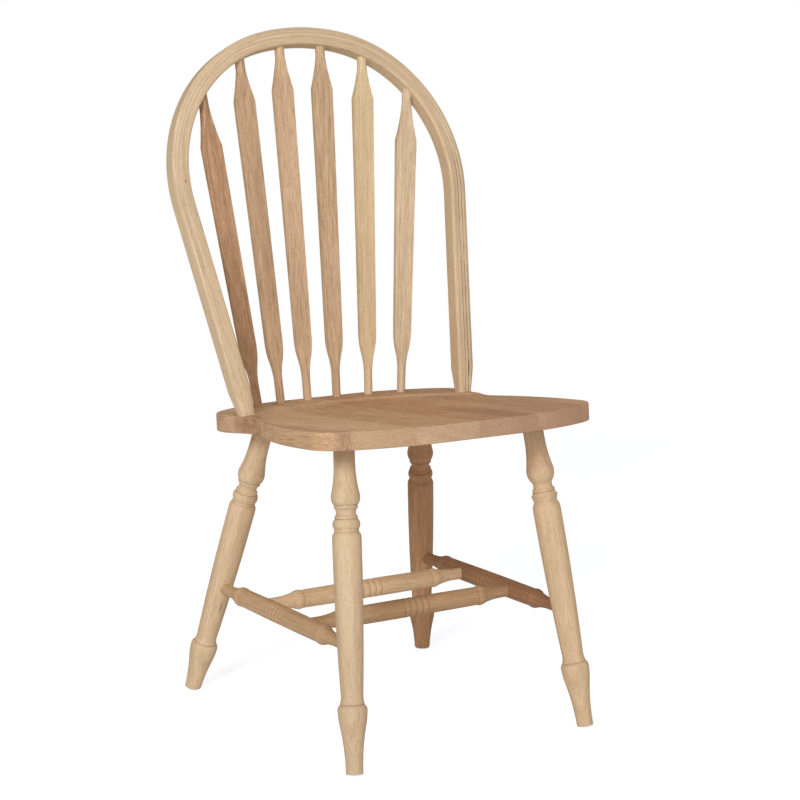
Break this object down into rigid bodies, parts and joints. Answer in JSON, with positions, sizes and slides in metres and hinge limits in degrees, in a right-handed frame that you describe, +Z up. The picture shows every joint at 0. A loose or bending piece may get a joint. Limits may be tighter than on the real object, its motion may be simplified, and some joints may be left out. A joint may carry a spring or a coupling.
{
  "type": "windsor chair",
  "caption": "Bow-back wooden side chair with flat arrow slats, a scooped seat on turned splayed legs and turned stretchers.",
  "frame": {"origin": "on the floor under the middle of the chair's overall box", "axes": "+Z up, -Y towards the front of the chair, +X towards the sitter's left"},
  "size_m": [0.4766, 0.5022, 0.9584],
  "materials": {
    "bow_wood": "clear satin lacquer on pale hardwood",
    "turned_wood": "clear satin lacquer on pale hardwood",
    "slat_wood": "clear satin lacquer on mixed hardwood",
    "seat_wood": "clear satin lacquer on pink-brown hardwood"
  },
  "bodies": {
    "root": {"side_stretcher_right": "turned_wood", "side_stretcher_left": "turned_wood", "cross_stretcher_front": "turned_wood", "cross_stretcher_rear": "turned_wood", "leg_front_right": "turned_wood", "leg_front_left": "turned_wood", "leg_rear_right": "turned_wood", "leg_rear_left": "turned_wood", "slat_1": "slat_wood", "slat_2": "slat_wood", "slat_3": "slat_wood", "slat_4": "slat_wood", "slat_5": "slat_wood", "slat_6": "slat_wood", "bow_ply_1": "bow_wood", "bow_ply_2": "bow_wood", "bow_ply_3": "bow_wood", "bow_ply_4": "bow_wood", "seat_board_1": "seat_wood", "seat_board_2": "seat_wood", "seat_board_3": "seat_wood", "seat_board_4": "seat_wood", "seat_board_5": "seat_wood", "seat_board_6": "seat_wood"}
  },
  "joints": []
}
